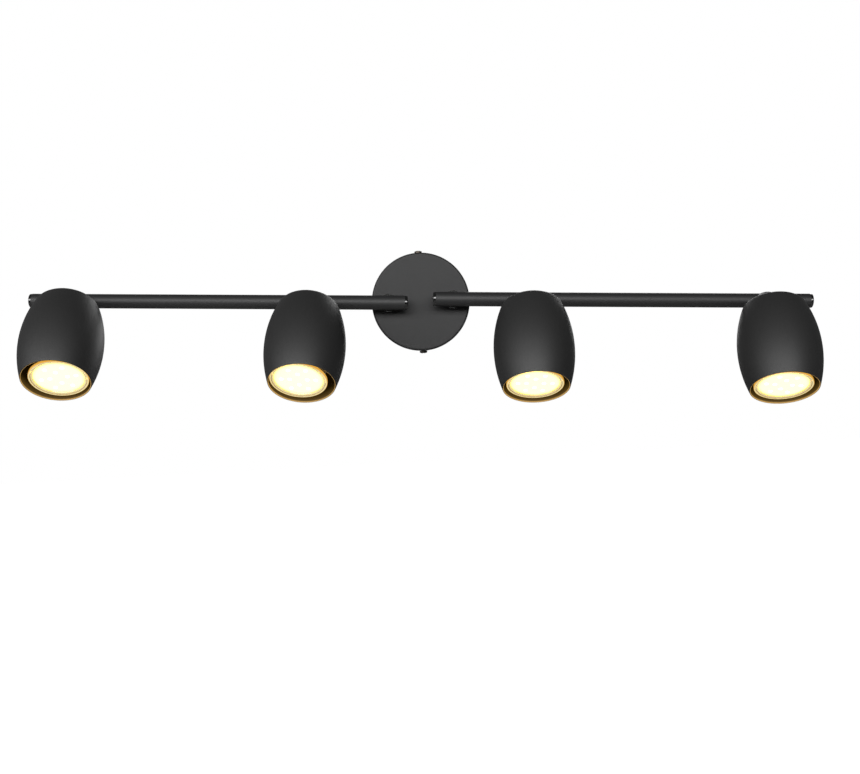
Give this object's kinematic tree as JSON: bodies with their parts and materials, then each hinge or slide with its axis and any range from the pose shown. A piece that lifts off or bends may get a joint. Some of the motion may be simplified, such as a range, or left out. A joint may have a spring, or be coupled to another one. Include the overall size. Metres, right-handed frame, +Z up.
{
  "type": "track lighting fixture",
  "caption": "Wall or ceiling spot bar: a round canopy carries swivelling tube arms with pivoting, tilting barrel-shaped shades, each holding a twist-lock reflector lamp.",
  "frame": {"origin": "middle of the canopy's back face, on the wall", "axes": "+X along the bar to the right seen from the front, +Z up, +Y into the wall"},
  "size_m": [0.7292, 0.1439, 0.16],
  "materials": {
    "canopy_powder_coat": "matte black powder coat with a fine texture",
    "arm_powder_coat": "matte black powder coat with a fine texture",
    "shade_powder_coat": "matte black powder coat with a soft fine texture",
    "black_screw": "blackened steel",
    "zinc_plated_steel": "zinc plated",
    "plug_plastic": "polished black",
    "nylon": "natural nylon",
    "terminal_plastic": "moulded white",
    "terminal_brass": "turned",
    "brown_lead": "smooth insulation",
    "blue_lead": "smooth insulation",
    "green_yellow_lead": "striped insulation",
    "cable_sheath": "smooth sheath",
    "white_ceramic": "unglazed",
    "lamp_plastic": "moulded white",
    "lamp_lens": "clear moulded optic, lit from behind"
  },
  "bodies": {
    "canopy": {"canopy": "canopy_powder_coat", "mounting_bracket": "zinc_plated_steel", "side_screws": "black_screw", "swivel_bushes": "nylon", "terminal_block": "terminal_plastic", "terminal_screws": "terminal_brass", "live_leads": "brown_lead", "neutral_leads": "blue_lead", "earth_leads": "green_yellow_lead"},
    "left_arm": {"left_tube": "arm_powder_coat", "left_end_plugs": "plug_plastic", "left_stem": "zinc_plated_steel", "left_stem_collar": "arm_powder_coat", "left_stem_nut": "zinc_plated_steel", "left_arm_cable": "cable_sheath", "left_head_bosses": "arm_powder_coat"},
    "right_arm": {"right_tube": "arm_powder_coat", "right_end_plugs": "plug_plastic", "right_stem": "zinc_plated_steel", "right_stem_collar": "arm_powder_coat", "right_stem_nut": "zinc_plated_steel", "right_arm_cable": "cable_sheath", "right_head_bosses": "arm_powder_coat"},
    "swivel_1": {"swivel_base_1": "arm_powder_coat", "swivel_nut_1": "zinc_plated_steel"},
    "head_1": {"shade_1": "shade_powder_coat", "knuckle_1": "arm_powder_coat", "hinge_screw_1": "black_screw", "lampholder_1": "white_ceramic", "head_lead_1": "cable_sheath"},
    "lamp_unit_1": {"lamp_1": "lamp_plastic", "lamp_lens_1": "lamp_lens"},
    "swivel_2": {"swivel_base_2": "arm_powder_coat", "swivel_nut_2": "zinc_plated_steel"},
    "head_2": {"shade_2": "shade_powder_coat", "knuckle_2": "arm_powder_coat", "hinge_screw_2": "black_screw", "lampholder_2": "white_ceramic", "head_lead_2": "cable_sheath"},
    "lamp_unit_2": {"lamp_2": "lamp_plastic", "lamp_lens_2": "lamp_lens"},
    "swivel_3": {"swivel_base_3": "arm_powder_coat", "swivel_nut_3": "zinc_plated_steel"},
    "head_3": {"shade_3": "shade_powder_coat", "knuckle_3": "arm_powder_coat", "hinge_screw_3": "black_screw", "lampholder_3": "white_ceramic", "head_lead_3": "cable_sheath"},
    "lamp_unit_3": {"lamp_3": "lamp_plastic", "lamp_lens_3": "lamp_lens"},
    "swivel_4": {"swivel_base_4": "arm_powder_coat", "swivel_nut_4": "zinc_plated_steel"},
    "head_4": {"shade_4": "shade_powder_coat", "knuckle_4": "arm_powder_coat", "hinge_screw_4": "black_screw", "lampholder_4": "white_ceramic", "head_lead_4": "cable_sheath"},
    "lamp_unit_4": {"lamp_4": "lamp_plastic", "lamp_lens_4": "lamp_lens"}
  },
  "joints": [
    {"name": "left_arm_swivel", "type": "hinge", "parent": "canopy", "child": "left_arm", "pos_m": [-0.0305, 0, 0], "axis": [0, -1, 0], "range_deg": [-86.6, 63.4]},
    {"name": "right_arm_swivel", "type": "hinge", "parent": "canopy", "child": "right_arm", "pos_m": [0.0305, 0, 0], "axis": [0, -1, 0], "range_deg": [-56.6, 93.4]},
    {"name": "head_1_pan", "type": "hinge", "parent": "left_arm", "child": "swivel_1", "pos_m": [-0.31879, -0.0392, 0.01713], "axis": [0, -1, 0], "range_deg": [-170, 170]},
    {"name": "head_1_tilt", "type": "hinge", "parent": "swivel_1", "child": "head_1", "pos_m": [-0.31879, -0.0647, 0.01713], "axis": [-0.9984, 0, -0.0558], "range_deg": [-32.6, 52.4]},
    {"name": "lamp_1_twist", "type": "hinge", "parent": "head_1", "child": "lamp_unit_1", "pos_m": [-0.31823, -0.07239, 0.00716], "axis": [0.0689, -0.603, -0.7947], "range_deg": [0, 20]},
    {"name": "head_2_pan", "type": "hinge", "parent": "left_arm", "child": "swivel_2", "pos_m": [-0.10048, -0.0392, 0.00416], "axis": [0, -1, 0], "range_deg": [-170, 170]},
    {"name": "head_2_tilt", "type": "hinge", "parent": "swivel_2", "child": "head_2", "pos_m": [-0.10048, -0.0647, 0.00416], "axis": [-0.9983, 0, 0.0576], "range_deg": [-31.8, 53.2]},
    {"name": "lamp_2_twist", "type": "hinge", "parent": "head_2", "child": "lamp_unit_2", "pos_m": [-0.10106, -0.07225, -0.00592], "axis": [-0.084, -0.6069, -0.7903], "range_deg": [0, 20]},
    {"name": "head_3_pan", "type": "hinge", "parent": "right_arm", "child": "swivel_3", "pos_m": [0.10048, -0.0392, -0.00416], "axis": [0, -1, 0], "range_deg": [-170, 170]},
    {"name": "head_3_tilt", "type": "hinge", "parent": "swivel_3", "child": "head_3", "pos_m": [0.10048, -0.0647, -0.00416], "axis": [-0.999, 0, 0.0454], "range_deg": [-25.1, 59.9]},
    {"name": "lamp_3_twist", "type": "hinge", "parent": "head_3", "child": "lamp_unit_3", "pos_m": [0.09998, -0.07102, -0.01505], "axis": [-0.0514, -0.5045, -0.8619], "range_deg": [0, 20]},
    {"name": "head_4_pan", "type": "hinge", "parent": "right_arm", "child": "swivel_4", "pos_m": [0.31879, -0.0392, -0.01713], "axis": [0, -1, 0], "range_deg": [-170, 170]},
    {"name": "head_4_tilt", "type": "hinge", "parent": "swivel_4", "child": "head_4", "pos_m": [0.31879, -0.0647, -0.01713], "axis": [-0.9949, 0, 0.1011], "range_deg": [-25.4, 59.6]},
    {"name": "lamp_4_twist", "type": "hinge", "parent": "head_4", "child": "lamp_unit_4", "pos_m": [0.31769, -0.07108, -0.02794], "axis": [-0.0927, -0.5, -0.8611], "range_deg": [0, 20]}
  ]
}
